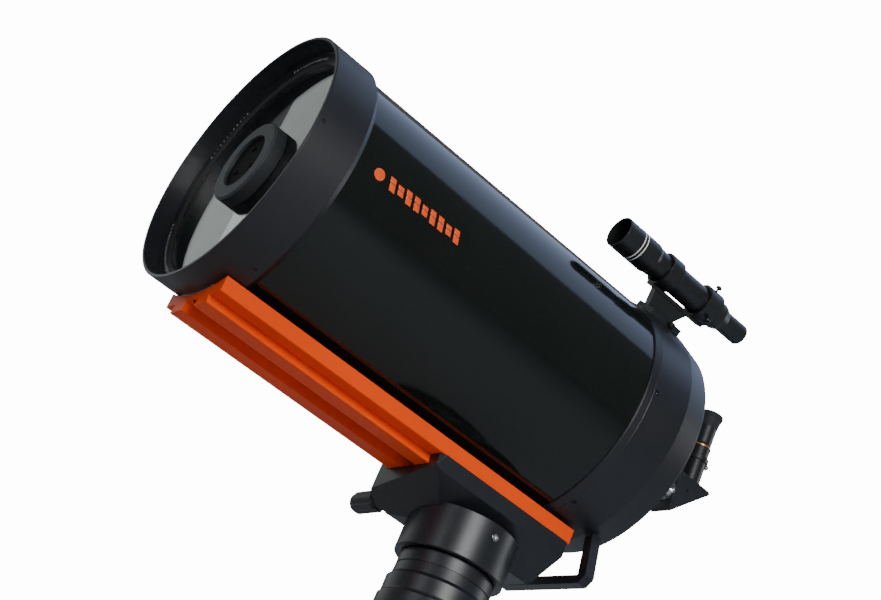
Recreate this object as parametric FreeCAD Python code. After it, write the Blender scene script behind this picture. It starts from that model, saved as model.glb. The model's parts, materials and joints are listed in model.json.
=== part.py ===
# Schmidt-Cassegrain telescope on its mount head, in millimetres.
# Origin: centre of the base flange's underside. +Z: up the declination axis.
# The optical axis is level and runs along Y, with the sky end towards -Y.
# "station" is the distance behind the front rim, measured along the optical axis.
import FreeCAD, Part
import math
import os
from FreeCAD import Vector

os.makedirs("parts", exist_ok=True)

# ---- driving dimensions ----
axis_height = 470.0          # optical axis above the base flange
dec_station = 584.0          # station of the declination axis

tube_radius = 197.85
tube_wall = 2.0
tube_start = 50.0
tube_end = 690.0

front_cell_radius = tube_radius + 8.65
front_cell_length = 81.0
front_cell_bevel = 9.0
rim_thickness = 5.0
rim_depth = 34.0             # depth of the recess in front of the corrector
corrector_radius = tube_radius - 11.85
corrector_thickness = 6.0
clear_aperture = corrector_radius - 8.0       # radius of the light opening

secondary_ring_radius = 66.0
secondary_bore_radius = 46.0
secondary_front = 13.0       # station of its front ring
secondary_depth = 34.0       # behind the corrector's front face
small_mirror_radius = 36.5
small_mirror_curve = 480.0
screw_circle = 24.0          # radius of the collimation screws' circle

rear_cell_radius = tube_radius + 4.05
rear_cell_start = 655.0
rear_band = 13.0
taper_start = 738.0
taper_end = 781.0
taper_radius = rear_cell_radius - 8.9
back_station = 787.0
cell_wall = 9.0

baffle_radius = 38.0
baffle_front_radius = 33.0
baffle_wall = 2.0
baffle_front = 300.0
mirror_radius = tube_radius - 16.85
mirror_thickness = 32.0
mirror_hole = 46.0
mirror_front = 690.0
mirror_curve = 1500.0        # radius of curvature of the mirror's face
mirror_travel = 8.0          # each way, for focusing
running_gap = 0.05           # radial clearance of a shaft that turns or slides

focus_offset = 98.0
focus_angle = 150.0          # where the focuser sits round the rear cell, from +X
focus_shaft_radius = 5.0
focus_knob_radius = 23.0

plate_half = 75.7            # half width of the dovetail bar's upper plate
plate_bottom = front_cell_radius + 11.0         # distance of its underside below the optical axis
plate_side = 25.5            # height of its side faces
foot_half = 50.8
foot_root_half = 46.6
foot_depth = 14.5
foot_slot_half = 17.0
bar_start = 42.0
bar_length = 674.0
pad_gap = 2.0                # shim between the front cell and the bar

saddle_half_length = 132.0
saddle_half_width = 78.0
saddle_depth = 66.0
slide_gap = 0.25
jaw_front = -124.0           # the jaw's ends, measured from the declination axis
jaw_back = 80.0
jaw_depth = 34.0
jaw_lug_length = 54.0        # deeper part that the clamp screw goes through
clamp_screw_y = -97.0
clamp_screw_drop = 46.5      # below the saddle's top face
clamp_screw_radius = 5.0
clamp_screw_tip = 34.0
clamp_knob_length = 72.0
clamp_knob_radius = 17.0

collar_radius = 84.0
collar_top = 208.0
collar_bottom = 139.0
housing_neck = 73.0
housing_radius = 82.0
dec_shaft_radius = 25.0
flange_radius = 105.0
flange_thickness = 16.0
flange_bolts = 6
flange_bolt_circle = 93.5
flange_bolt_radius = 4.5

finder_offset = rear_cell_radius + 66.1        # finder axis from the optical axis
finder_angle = 60.0          # round the tube, from +X towards +Z
finder_front = 551.0
finder_rear = 844.0
finder_tube_radius = 23.0
finder_shield_radius = 26.3
finder_wall = 2.0
finder_shield_length = 83.0
finder_front_ring = (650.0, 676.0)
finder_rear_ring = (740.0, 770.0)
finder_tilt_station = 663.0  # the O-ring that the finder tilts on
finder_screw_station = 757.0
shoe_half = 24.0
shoe_groove_low_half = 17.0
shoe_groove_high_half = 13.0
shoe_height = 12.0

port_radius = 41.5
adapter_radius = 50.0
visual_back_radius = 27.5
nose_radius = 15.9
diagonal_front = 918.0
diagonal_leg = 72.0
diagonal_half = 22.0
diagonal_drop = 38.0
holder_radius = 18.5
holder_height = 84.0
eyepiece_height = 166.0
eyepiece_radius = 16.5
eyecup_radius = 21.5

handle_leg_x = 77.0
handle_bar_x = 98.0
handle_station = 752.0
handle_bar_drop = 262.0
handle_thickness = 11.0
handle_width = 18.0

# ---- shared frame ----
rim = Vector(0, -dec_station, axis_height)
sky_axis = Vector(0, 1, 0)
up = Vector(0, 0, 1)
right = Vector(1, 0, 0)


def y_of(station):
    return station - dec_station


def spoke(angle):
    """Unit vector square to the optical axis, at an angle from +X towards +Z."""
    turn = math.radians(angle)
    return Vector(math.cos(turn), 0, math.sin(turn))


def on_axis(station, angle=0.0, radius=0.0):
    """Point at a station, off the optical axis by a radius."""
    return rim + sky_axis * station + spoke(angle) * radius


def solid_of(shape):
    """Same solid with its faces pointing outwards."""
    if shape.Volume < 0:
        shape.reverse()
    return shape


def turned(outline, base=rim, axis=sky_axis):
    """Solid turned about an axis from (along, radius) points."""
    side = up if abs(axis.dot(up)) < 0.9 else right
    side = (side - axis * side.dot(axis)).normalize()
    points = [base + axis * along + side * radius for along, radius in outline]
    face = Part.Face(Part.makePolygon(points + points[:1]))
    return solid_of(face.revolve(base, axis, 360))


def ring(start, end, outer, inner, base=rim, axis=sky_axis):
    return turned([(start, inner), (start, outer), (end, outer), (end, inner)], base, axis)


def rod(start, end, radius, base=rim, axis=sky_axis):
    return Part.makeCylinder(radius, end - start, base + axis * start, axis)


def block(x, y, z):
    """Box from three (low, high) pairs."""
    return Part.makeBox(x[1] - x[0], y[1] - y[0], z[1] - z[0], Vector(x[0], y[0], z[0]))


def prism(points, path):
    """Flat outline pushed along a path."""
    return solid_of(Part.Face(Part.makePolygon(points + points[:1])).extrude(path))


def around(shape, angles, centre=rim, axis=sky_axis):
    """Copies of a shape turned about an axis."""
    copies = []
    for angle in angles:
        turned_copy = shape.copy()
        turned_copy.rotate(centre, axis, angle)
        copies.append(turned_copy)
    return copies


def evenly(count, first=0.0):
    return [first + 360.0 * step / count for step in range(count)]


def fuse(first, *others):
    return first.multiFuse(list(others)).removeSplitter()


def cut(first, *others):
    return first.cut(list(others)) if len(others) > 1 else first.cut(others[0])


def save(node, *shapes):
    """Write one node, which may hold several separate solids."""
    solids = [solid for shape in shapes for solid in shape.Solids]
    whole = solids[0] if len(solids) == 1 else Part.makeCompound(solids)
    whole.exportStep("parts/" + node + ".step")
    return whole


def cap_screw(point, axis, head_radius, head_height, shank_radius, shank_length):
    """Socket head screw whose head stands on a face; axis points out of the face."""
    head = Part.makeCylinder(head_radius, head_height, point, axis)
    shank = Part.makeCylinder(shank_radius, shank_length, point - axis * shank_length, axis)
    socket = Part.makeCylinder(head_radius * 0.5, head_height * 0.6, point + axis * head_height * 0.4, axis)
    return cut(fuse(head, shank), socket)


def ribbed_knob(base, axis, length, radius, ribs, bore):
    """Round knob with a fluted edge."""
    body = turned([(0, bore), (0, radius - 1), (1, radius), (length - 2, radius),
                   (length, radius - 2), (length, bore)], base, axis)
    side = up if abs(axis.dot(up)) < 0.9 else right
    flute_radius = math.pi * radius / ribs * 0.45
    flute = Part.makeCylinder(flute_radius, length, base + side * (radius + flute_radius * 0.35), axis)
    return cut(body, *around(flute, evenly(ribs), base, axis))


# ---- front cell, corrector and secondary ----
def front_end():
    recess = front_cell_radius - rim_thickness
    seat = rim_depth + corrector_thickness
    bevel = front_cell_length - front_cell_bevel
    cell = turned([(0, recess), (0, front_cell_radius - 1), (1, front_cell_radius),
                   (bevel, front_cell_radius), (front_cell_length, tube_radius + 1.2),
                   (front_cell_length, tube_radius), (tube_start, tube_radius),
                   (tube_start, tube_radius - tube_wall), (seat + 6, clear_aperture),
                   (seat + 1, clear_aperture), (seat + 1, recess - 2), (rim_depth - 4, recess - 2),
                   (rim_depth - 5, recess)])
    screw_stations = [(9.7, 0.7), (60.0, -59.4)]
    screws = []
    holes = []
    for station, first in screw_stations:
        for angle in evenly(3, first):
            out = spoke(angle)
            top = on_axis(station, angle, front_cell_radius)
            depth = 3.6 if station < 20 else 6.5
            holes.append(Part.makeCylinder(3.2, depth, top - out * depth, out))
            screws.append(cut(Part.makeCylinder(3.2, depth - 1.2, top - out * depth, out),
                              Part.makeCylinder(1.5, 2.0, top - out * 2.6, out)))
    ring_radius = (clear_aperture + recess) / 2 + 2
    holder_screws = []
    holder_holes = []
    for angle in evenly(12, 15):
        place = on_axis(rim_depth - 5, angle, ring_radius)
        holder_holes.append(Part.makeCylinder(3.4, 2.0, place, sky_axis))
        holder_holes.append(Part.makeCylinder(1.5, seat + 8 - rim_depth + 5, place, sky_axis))
        holder_screws.append(cap_screw(place + sky_axis * 2.0, sky_axis * -1, 3.3, 1.8, 1.45,
                                       seat + 7 - rim_depth + 3))
    save("front_cell", cut(cell, *holes, *holder_holes))

    save("corrector_gasket", ring(seat, seat + 1, corrector_radius, clear_aperture))
    save("corrector_plate", ring(rim_depth, seat, corrector_radius, secondary_bore_radius))
    holder = turned([(rim_depth - 5, clear_aperture + 3), (rim_depth - 5, recess - 3),
                     (rim_depth - 4, recess - 2), (rim_depth, recess - 2), (rim_depth, clear_aperture)])
    save("corrector_retaining_ring", cut(holder, *holder_holes))
    save("retaining_ring_screws", *holder_screws)

    tube = ring(tube_start, tube_end, tube_radius, tube_radius - tube_wall)
    save("main_tube", tube)
    return seat, screws


def secondary_group(seat):
    lip = 4.0
    cup_wall = 2.5
    front = secondary_front + lip
    cup_radius = secondary_bore_radius - cup_wall
    back = rim_depth + secondary_depth
    retainer = turned([(front - lip, cup_radius), (front - lip, secondary_ring_radius - 3),
                       (front - lip + 3, secondary_ring_radius), (rim_depth, secondary_ring_radius),
                       (rim_depth, secondary_bore_radius), (front, secondary_bore_radius),
                       (front, cup_radius)])
    save("secondary_retainer", retainer)
    edge = secondary_ring_radius - 2
    housing = turned([(front, cup_radius), (front, secondary_bore_radius), (seat, secondary_bore_radius),
                      (seat, edge), (back - 10, edge), (back - 3, edge - 2.5), (back, edge - 8),
                      (back, edge - 12), (back - 6, edge - 12), (back - 6, edge - 4), (seat + 3, edge - 4),
                      (seat + 3, cup_radius)])
    save("secondary_housing", housing)
    plate_front = front + 2
    plate_back = plate_front + 6
    screw_radius = 2.0
    screw_holes = [rod(front, plate_back + 1, screw_radius + running_gap, on_axis(0, angle, screw_circle))
                   for angle in evenly(3, 90)]
    save("secondary_cover_plate", cut(rod(plate_front, plate_back, cup_radius), *screw_holes))
    cell_front = plate_back + 5
    mirror_seat = cell_front + 6
    edge_front = cell_front + 16
    holder = turned([(plate_back, 0), (plate_back + 1, 2), (cell_front, 2),
                     (cell_front, small_mirror_radius + 1.5),
                     (edge_front, small_mirror_radius + 1.5), (edge_front, small_mirror_radius),
                     (mirror_seat, small_mirror_radius), (mirror_seat, 0)])
    pivot = Part.makeSphere(2.4, on_axis(plate_back + 2.4))
    save("secondary_cell", fuse(holder, pivot))
    dome = []
    for step in range(9):
        radius = small_mirror_radius * step / 8
        dome.append((edge_front + 4 - radius ** 2 / (2 * small_mirror_curve), radius))
    save("secondary_mirror", turned([(mirror_seat, 0)] + dome + [(mirror_seat, small_mirror_radius)]))
    for number, angle in enumerate(evenly(3, 90), start=1):
        base = on_axis(0, angle, screw_circle)
        screw = fuse(rod(plate_front - 3.2, plate_front - 0.2, 4, base),
                     rod(plate_front - 0.2, cell_front - 0.6, screw_radius, base))
        slot = block((-0.6, 0.6), (y_of(plate_front) - 3.3, y_of(plate_front) - 2.0), (-5, 5))
        slot.translate(Vector(base.x, 0, base.z))
        save("collimation_screw_%d" % number, cut(screw, slot))


# ---- rear cell, baffle and main mirror ----
def mirror_face(radius):
    """Station of the main mirror's hollow face at a radius."""
    return mirror_front + (mirror_radius ** 2 - radius ** 2) / (2 * mirror_curve)


def rear_end(front_screws):
    inner = tube_radius
    cell = turned([(rear_cell_start, inner), (rear_cell_start, rear_cell_radius - 2.6),
                   (rear_cell_start + 1.5, rear_cell_radius - 1.4),
                   (rear_cell_start + rear_band, rear_cell_radius),
                   (rear_cell_start + rear_band, rear_cell_radius - 0.5),
                   (rear_cell_start + rear_band + 1, rear_cell_radius),
                   (taper_start, rear_cell_radius), (taper_end, taper_radius),
                   (back_station - 2, taper_radius - 2.6), (back_station, taper_radius - 7),
                   (back_station, 62), (back_station + 6, 56), (back_station + 6, baffle_radius),
                   (back_station - cell_wall, baffle_radius), (back_station - cell_wall, taper_radius - 14),
                   (taper_start, inner - 8), (tube_end, inner - 8), (tube_end, inner)])
    focus_base = on_axis(0, focus_angle, focus_offset)
    bushing_radius = focus_shaft_radius + 7
    cell = cut(cell, rod(back_station - cell_wall - 1, back_station + 1, bushing_radius, focus_base))
    screws = []
    holes = []
    for angle in evenly(6, 1.7):
        out = spoke(angle)
        top = on_axis(rear_cell_start + 19, angle, rear_cell_radius)
        holes.append(Part.makeCylinder(4.2, 3.8, top - out * 3.8, out))
        head = Part.makeCylinder(3.6, 2.6, top - out * 3.8, out)
        screws.append(cut(head, Part.makeCylinder(1.8, 1.6, top - out * 2.6, out)))
    save("rear_cell", cut(cell, *holes))
    save("cell_screws", *front_screws, *screws)

    thread_end = back_station + 14
    baffle = turned([(baffle_front, baffle_front_radius - baffle_wall), (baffle_front, baffle_front_radius),
                     (baffle_front + 260, baffle_radius), (back_station - cell_wall - 6, baffle_radius),
                     (back_station - cell_wall - 6, baffle_radius + 8),
                     (back_station - cell_wall, baffle_radius + 8),
                     (back_station - cell_wall, baffle_radius), (thread_end, baffle_radius),
                     (thread_end, baffle_radius - 5), (back_station - 40, baffle_radius - baffle_wall),
                     (baffle_front + 260, baffle_radius - baffle_wall)])
    save("primary_baffle_tube", baffle)
    nut = cut(ring(back_station + 6, thread_end, port_radius + 6, baffle_radius),
              *around(rod(back_station + 9, thread_end + 1, 3, on_axis(0, 0, port_radius + 6)), evenly(8)))
    save("baffle_lock_nut", nut)

    # The carriage slides on the baffle tube and carries the mirror.
    sleeve = baffle_radius + running_gap
    mirror_back = mirror_front + mirror_thickness
    arm_front = mirror_back + mirror_travel + 4
    arm_back = arm_front + 12
    hub = turned([(mirror_front - 6, sleeve), (mirror_front - 6, mirror_hole - 2),
                  (mirror_back, mirror_hole - 2),
                  (mirror_back, 84), (mirror_back + 6, 84), (mirror_back + 11, 60), (arm_back, 57),
                  (arm_back, sleeve)])
    arm_half = 13.0
    arm = block((0, focus_offset), (arm_front - dec_station, arm_back - dec_station), (-arm_half, arm_half))
    arm = fuse(arm, rod(arm_front - dec_station, arm_back - dec_station, arm_half, Vector(focus_offset, 0, 0)))
    arm.rotate(Vector(0, 0, 0), sky_axis, -focus_angle)
    arm.translate(Vector(0, 0, axis_height))
    carriage = fuse(hub, cut(arm, rod(arm_front - 1, arm_back + 1, 50)))
    carriage = cut(carriage, rod(mirror_back, arm_back + 1, focus_shaft_radius + running_gap, focus_base))
    save("mirror_carriage", carriage)
    face = []
    for step in range(9):
        radius = mirror_hole + (mirror_radius - mirror_hole) * step / 8
        face.append((mirror_face(radius), radius))
    mirror = turned([(mirror_back, mirror_hole - 2)] + [(face[0][0], mirror_hole - 2)] + face +
                    [(mirror_back - 1, mirror_radius), (mirror_back, mirror_radius - 1)])
    save("primary_mirror", mirror)
    lock_radius = mirror_hole + 5
    save("mirror_lock_ring", ring(mirror_front - 6, mirror_face(lock_radius) - 0.1, lock_radius,
                                  mirror_hole - 2))

    # Focuser: a fixed bushing, and a screw that the knob turns.
    bushing = fuse(ring(back_station - cell_wall, back_station, bushing_radius,
                        focus_shaft_radius + running_gap, focus_base),
                   ring(back_station, back_station + 6, bushing_radius + 7,
                        focus_shaft_radius + running_gap, focus_base))
    save("focus_bushing", bushing)
    collar_front = back_station - cell_wall - 4
    screw = fuse(rod(mirror_back + mirror_travel + 1, back_station + 34, focus_shaft_radius, focus_base),
                 rod(collar_front, back_station - cell_wall - 0.2, focus_shaft_radius + 4, focus_base))
    save("focus_screw", screw)
    knob = ribbed_knob(focus_base + sky_axis * (back_station + 6.4), sky_axis, 32, focus_knob_radius, 24,
                       focus_shaft_radius)
    save("focus_knob", knob)
    return thread_end


# ---- visual back, diagonal and eyepiece ----
def eye_end(thread_end):
    cone_end = thread_end + 66
    adapter = turned([(back_station + 8, port_radius + 6.5), (back_station + 8, adapter_radius),
                      (thread_end + 26, adapter_radius), (cone_end, visual_back_radius + 2),
                      (cone_end + 6, visual_back_radius + 2), (cone_end + 6, 20), (cone_end, 20),
                      (thread_end + 20, baffle_radius - 4), (thread_end, baffle_radius - 4),
                      (thread_end, port_radius + 6.5)])
    save("rear_port_adapter", adapter)
    back_start = cone_end + 6
    lock = ribbed_knob(on_axis(back_start), sky_axis, 13, visual_back_radius + 1.5, 36, 22.0 + running_gap)
    save("visual_back_ring", lock)
    back = turned([(back_start, nose_radius + running_gap), (back_start, 22), (back_start + 13.3, 22),
                   (back_start + 13.3, 25), (back_start + 24, 23),
                   (back_start + 24, nose_radius + running_gap)])
    save("visual_back", back)

    centre = diagonal_front + diagonal_drop
    axis_z = axis_height
    inner_wall = 4.0
    top = diagonal_leg - diagonal_drop
    nose = fuse(ring(back_start + 2, diagonal_front - 3, nose_radius, nose_radius - 1.6),
                ring(diagonal_front - 3, diagonal_front, nose_radius + 5, nose_radius - 1.6))
    save("diagonal_nose", nose)

    def corners(offset):
        """Triangle of the prism housing, each wall moved inwards by an offset."""
        front = y_of(diagonal_front) + offset
        high = axis_z + top - offset
        reach = diagonal_leg - offset * (2 + math.sqrt(2))
        return front, high, reach

    def triangle(offset, x0, x1, blunt):
        front, high, reach = corners(offset)
        points = [Vector(x0, front, high), Vector(x0, front + reach - blunt, high),
                  Vector(x0, front + reach, high - blunt), Vector(x0, front + blunt, high - reach),
                  Vector(x0, front, high - reach + blunt)]
        return prism(points, Vector(x1 - x0, 0, 0))

    plate = 2.5
    shell = triangle(0, plate - diagonal_half, diagonal_half - plate, 4)
    hollow = triangle(inner_wall, plate - diagonal_half - 1, diagonal_half - plate + 1, 0.5)
    eye_base = Vector(0, y_of(centre), axis_z)
    shell = cut(shell, hollow, rod(diagonal_front - 1, diagonal_front + 8, nose_radius - 1.6),
                rod(top - 8, top + 1, 15.0, eye_base, up))
    save("diagonal_body", shell)
    covers = [triangle(0, -diagonal_half, plate - diagonal_half, 4),
              triangle(0, diagonal_half - plate, diagonal_half, 4)]
    dimple = rod(-diagonal_half - 1, diagonal_half + 1, 2.2,
                 Vector(0, y_of(diagonal_front) + 24, axis_z + 10), right)
    save("diagonal_side_plates", *[cut(cover, dimple) for cover in covers])
    front, high, reach = corners(inner_wall)
    lean = Vector(0, -1, 1).normalize() * 3.0
    slant_low = Vector(2.8 - diagonal_half, front + 1.5, high - reach + 1.5)
    slant_high = Vector(2.8 - diagonal_half, front + reach - 1.5, high - 1.5)
    mirror = prism([slant_low, slant_high, slant_high + lean, slant_low + lean],
                   Vector(2 * diagonal_half - 5.6, 0, 0))
    save("diagonal_mirror", cut(mirror, block((-40, 40), (front - 9, front), (high - 90, high + 9)),
                                block((-40, 40), (front - 9, front + 90), (high, high + 9))))

    flange = holder_height - 10
    bore = nose_radius + running_gap
    holder = turned([(top, bore), (top, holder_radius), (flange, holder_radius),
                     (flange + 1, holder_radius + 2.6),
                     (holder_height - 1, holder_radius + 2.6), (holder_height, holder_radius + 1.6),
                     (holder_height, bore)], eye_base, up)
    screw_height = flange + 5
    screw_base = eye_base + up * screw_height
    holder = cut(holder, rod(bore - 2, holder_radius + 5, 2.0 + running_gap, screw_base, sky_axis))
    save("eyepiece_holder", holder)
    tip = bore + 0.02
    thumb = fuse(rod(tip, holder_radius + 8, 2.0, screw_base, sky_axis),
                 ribbed_knob(screw_base + sky_axis * (holder_radius + 4), sky_axis, 7, 4.6, 12, 1.9))
    save("eyepiece_thumbscrew", thumb)

    foot = 54.0
    wall = 1.4
    shoulder = holder_height + 0.2
    band = shoulder + 17
    cup_start = eyepiece_height - 26
    body = turned([(foot, nose_radius - wall), (foot, nose_radius), (shoulder, nose_radius),
                   (shoulder, eyepiece_radius + 1.4), (band, eyepiece_radius + 1.4),
                   (band, eyepiece_radius + 1.8),
                   (band + 2.6, eyepiece_radius + 1.8), (band + 2.6, eyepiece_radius + 0.6),
                   (band + 8, eyepiece_radius), (cup_start, eyepiece_radius + 0.8),
                   (cup_start, nose_radius - wall)],
                  eye_base, up)
    save("eyepiece_body", body)
    cup = turned([(cup_start, nose_radius - 3), (cup_start, eyepiece_radius + 0.8),
                  (eyepiece_height - 10, eyepiece_radius + 2.6), (eyepiece_height - 4, eyecup_radius),
                  (eyepiece_height, eyecup_radius - 0.6), (eyepiece_height, eyecup_radius - 2.2),
                  (eyepiece_height - 8, nose_radius - 1), (eyepiece_height - 14, nose_radius - 3)],
                  eye_base, up)
    save("eyecup", cup)
    lens_radius = nose_radius - wall
    field = turned([(band + 4, 0), (band + 4, lens_radius), (band + 7, lens_radius), (band + 12, 0)],
                   eye_base, up)
    eye = turned([(cup_start - 9, 0), (cup_start - 5, lens_radius), (cup_start - 1, lens_radius),
                  (cup_start - 1, 0)],
                 eye_base, up)
    save("eyepiece_lenses", field, eye)


# ---- finder ----
def finder_group():
    """Built above the tube, then swung round to its place on the rear cell."""
    base = rim + up * finder_offset
    swing = 90 - finder_angle

    def place(*shapes):
        return around(Part.makeCompound(list(shapes)), [swing])

    shoe_low = rear_cell_radius - 3.0
    shoe_high = shoe_low + shoe_height
    shoe_front = y_of(rear_cell_start + 15)
    shoe_back = y_of(taper_start - 2)
    groove_floor = shoe_low + shoe_height / 2
    wide = shoe_groove_low_half
    narrow = shoe_groove_high_half
    shoe = block((-shoe_half, shoe_half), (shoe_front, shoe_back),
                 (axis_height + shoe_low, axis_height + shoe_high))
    low = axis_height + groove_floor
    high = axis_height + shoe_high
    groove = prism([Vector(-wide, shoe_front - 1, low), Vector(wide, shoe_front - 1, low),
                    Vector(narrow, shoe_front - 1, high), Vector(-narrow, shoe_front - 1, high)],
                   Vector(0, shoe_back - shoe_front - 3, 0))
    screw_y = (shoe_front + shoe_back) / 2 + 10
    screw_z = axis_height + groove_floor + 3.0
    screw_base = Vector(0, screw_y, screw_z)
    shoe = cut(shoe, groove, rod(rear_cell_start, back_station, rear_cell_radius),
               rod(10, 30, 2.0 + running_gap, screw_base, right))
    save("finder_shoe", *place(shoe))
    thumb = fuse(rod(15.9, 30, 2.0, screw_base, right),
                 ribbed_knob(screw_base + right * 25.0, right, 8, 5.0, 12, 1.9))
    save("finder_shoe_screw", *place(thumb))

    gap = 0.2
    foot_top = high + 1.0
    foot_front = shoe_front + 0.5
    foot = prism([Vector(-wide + gap, foot_front, low + gap), Vector(wide - gap * 8, foot_front, low + gap),
                  Vector(narrow - gap * 8, foot_front, high), Vector(-narrow + gap, foot_front, high)],
                 Vector(0, shoe_back - shoe_front - 6, 0))
    ring_outer = finder_shield_radius + 2.0
    ring_inner = finder_tube_radius + 1.6
    front_ring = ring(*finder_front_ring, ring_outer, ring_inner, base)
    rear_ring = ring(*finder_rear_ring, ring_outer + 1.0, ring_inner, base)
    spine_low = axis_height + finder_offset - ring_outer - 3.5
    spine_high = spine_low + 6.0
    spine = block((-9, 9), (y_of(finder_front_ring[0]), y_of(finder_rear_ring[1])), (spine_low, spine_high))
    bore = rod(finder_front_ring[0] - 50, finder_rear_ring[1] + 30, ring_inner, base)
    stem = prism([Vector(-7, y_of(670), high - 1), Vector(-7, y_of(722), high - 1),
                  Vector(-7, y_of(738), spine_low + 1), Vector(-7, y_of(662), spine_low + 1)], Vector(14, 0, 0))
    neck = block((-8, 8), (y_of(672), y_of(718)), (high - 2, foot_top))
    bracket = cut(fuse(foot, neck, stem, spine, front_ring, rear_ring), bore)
    screw_angles = (90, 210, 330)
    screw_centre = base + sky_axis * finder_screw_station
    holes = []
    for angle in screw_angles:
        out = spoke(angle)
        holes.append(Part.makeCylinder(2.0 + running_gap, 20, screw_centre + out * (ring_inner - 4), out))
    save("finder_bracket", *place(cut(bracket, *holes)))
    o_ring = ring(finder_tilt_station - 2, finder_tilt_station + 2, ring_inner,
                  finder_tube_radius + running_gap, base)
    save("finder_o_ring", *place(o_ring))
    for number, angle in enumerate(screw_angles, start=1):
        out = spoke(angle)
        tip = finder_tube_radius + running_gap
        knob_start = ring_outer + 5.0
        screw = fuse(rod(tip, knob_start + 3, 2.0, screw_centre, out),
                     ribbed_knob(screw_centre + out * knob_start, out, 6, 4.8, 12, 1.9))
        save("finder_adjusting_screw_%d" % number, *place(screw))

    barrel_front = finder_front + finder_shield_length
    bore_radius = finder_tube_radius - finder_wall
    tube = turned([(barrel_front, bore_radius), (barrel_front, finder_tube_radius),
                   (finder_rear - 58, finder_tube_radius),
                   (finder_rear - 50, finder_tube_radius - 3), (finder_rear - 45, 17.5),
                   (finder_rear - 45, 15.5),
                   (finder_rear - 60, bore_radius)], base)
    save("finder_tube", *place(tube))
    shield = turned([(finder_front, finder_shield_radius - 1.6), (finder_front, finder_shield_radius - 0.5),
                     (finder_front + 0.6, finder_shield_radius), (barrel_front - 12, finder_shield_radius),
                     (barrel_front - 6, finder_tube_radius + 0.8), (barrel_front, finder_tube_radius + 0.8),
                     (barrel_front, bore_radius), (barrel_front - 12, bore_radius),
                     (barrel_front - 12, finder_shield_radius - 1.6)], base)
    save("finder_dew_shield", *place(shield))
    lens = turned([(barrel_front, 0), (barrel_front + 3, bore_radius), (barrel_front + 8, bore_radius),
                   (barrel_front + 9, 0)], base)
    eye = turned([(finder_rear - 45, 9), (finder_rear - 45, 17.5), (finder_rear - 3, 17.5), (finder_rear, 15.5),
                  (finder_rear, 9)], base)
    save("finder_eyepiece", *place(eye))
    eye_lens = turned([(finder_rear - 12, 0), (finder_rear - 10, 9), (finder_rear - 6, 9),
                       (finder_rear - 4, 0)], base)
    save("finder_lenses", *place(lens, eye_lens))


# ---- dovetail bar, pads and handle ----
def bar_section():
    """Dovetail bar's section as seen along the optical axis, from x and depth pairs."""
    side = [(plate_half, plate_bottom - plate_side), (plate_half, plate_bottom - 1),
            (plate_half - 1, plate_bottom), (foot_root_half, plate_bottom),
            (foot_half, plate_bottom + foot_depth - 1.0), (foot_half - 1, plate_bottom + foot_depth),
            (foot_slot_half, plate_bottom + foot_depth), (foot_slot_half, plate_bottom - 0.5)]
    other = [(-x, depth) for x, depth in reversed(side)]
    return [Vector(x, 0, -depth) for x, depth in side + other]


def dovetail():
    points = [rim + sky_axis * bar_start + point for point in bar_section()]
    bar = prism(points, sky_axis * bar_length)
    bed = front_cell_radius + pad_gap
    bar = cut(bar, rod(0, 900, bed))
    bolt_stations = (51.0, 78.0, 668.0, 694.0)
    floor = axis_height - plate_bottom + 0.5
    down = up * -1
    bolt_holes = [Part.makeCylinder(3.25, 40, Vector(0, y_of(station), floor - 2),
                                    up) for station in bolt_stations]
    counterbores = [Part.makeCylinder(6.5, 3.0, Vector(0, y_of(station), floor - 0.5),
                                      up) for station in bolt_stations]
    save("dovetail_bar", cut(bar, *bolt_holes, *counterbores))
    bolts = []
    for station in bolt_stations:
        cell_radius = front_cell_radius if station < dec_station else rear_cell_radius
        point = Vector(0, y_of(station), floor + 2.5)
        bolts.append(cap_screw(point, down, 5.6, 3.4, 3.15, plate_bottom - 3.1 - cell_radius))
    front_pad_end = front_cell_length - front_cell_bevel
    pads = []
    for start, end, radius in ((bar_start, front_cell_length + 3, front_cell_radius),
                               (rear_cell_start + 5, bar_start + bar_length, rear_cell_radius)):
        bed_block = block((-44, 44), (y_of(start), y_of(end)), (axis_height - bed - 5, axis_height - 150))
        pads.append(cut(ring(start, end, bed, radius).common(bed_block), *bolt_holes))
    save("radius_pads", *pads)
    save("dovetail_screws", *bolts)


def handle():
    half = handle_thickness / 2
    top_z = axis_height - math.sqrt(rear_cell_radius ** 2 - handle_leg_x ** 2) + 4
    bar_z = axis_height - handle_bar_drop
    y = y_of(handle_station) - handle_width / 2
    side = [(handle_bar_x - 6, bar_z - half), (handle_bar_x + half, bar_z + 8), (handle_leg_x + 8, top_z + 2),
            (handle_leg_x - 8, top_z + 2), (handle_bar_x - half - 7, bar_z + half + 3)]
    other = [(-x, z) for x, z in reversed(side)]
    grip = prism([Vector(x, y, z) for x, z in side + other], Vector(0, handle_width, 0))
    grip = cut(grip, rod(rear_cell_start, back_station + 20, rear_cell_radius + 0.05))
    save("rear_handle", grip)


# ---- saddle and mount head ----
def beyond_plane(shape, point, normal):
    """Take away everything beyond a plane."""
    reach = 600.0
    face = Part.makePlane(reach, reach, Vector(-reach / 2, -reach / 2, 0))
    tool = face.extrude(Vector(0, 0, reach))
    tool.Placement = FreeCAD.Placement(point, FreeCAD.Rotation(up, normal))
    return shape.cut(tool)


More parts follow.
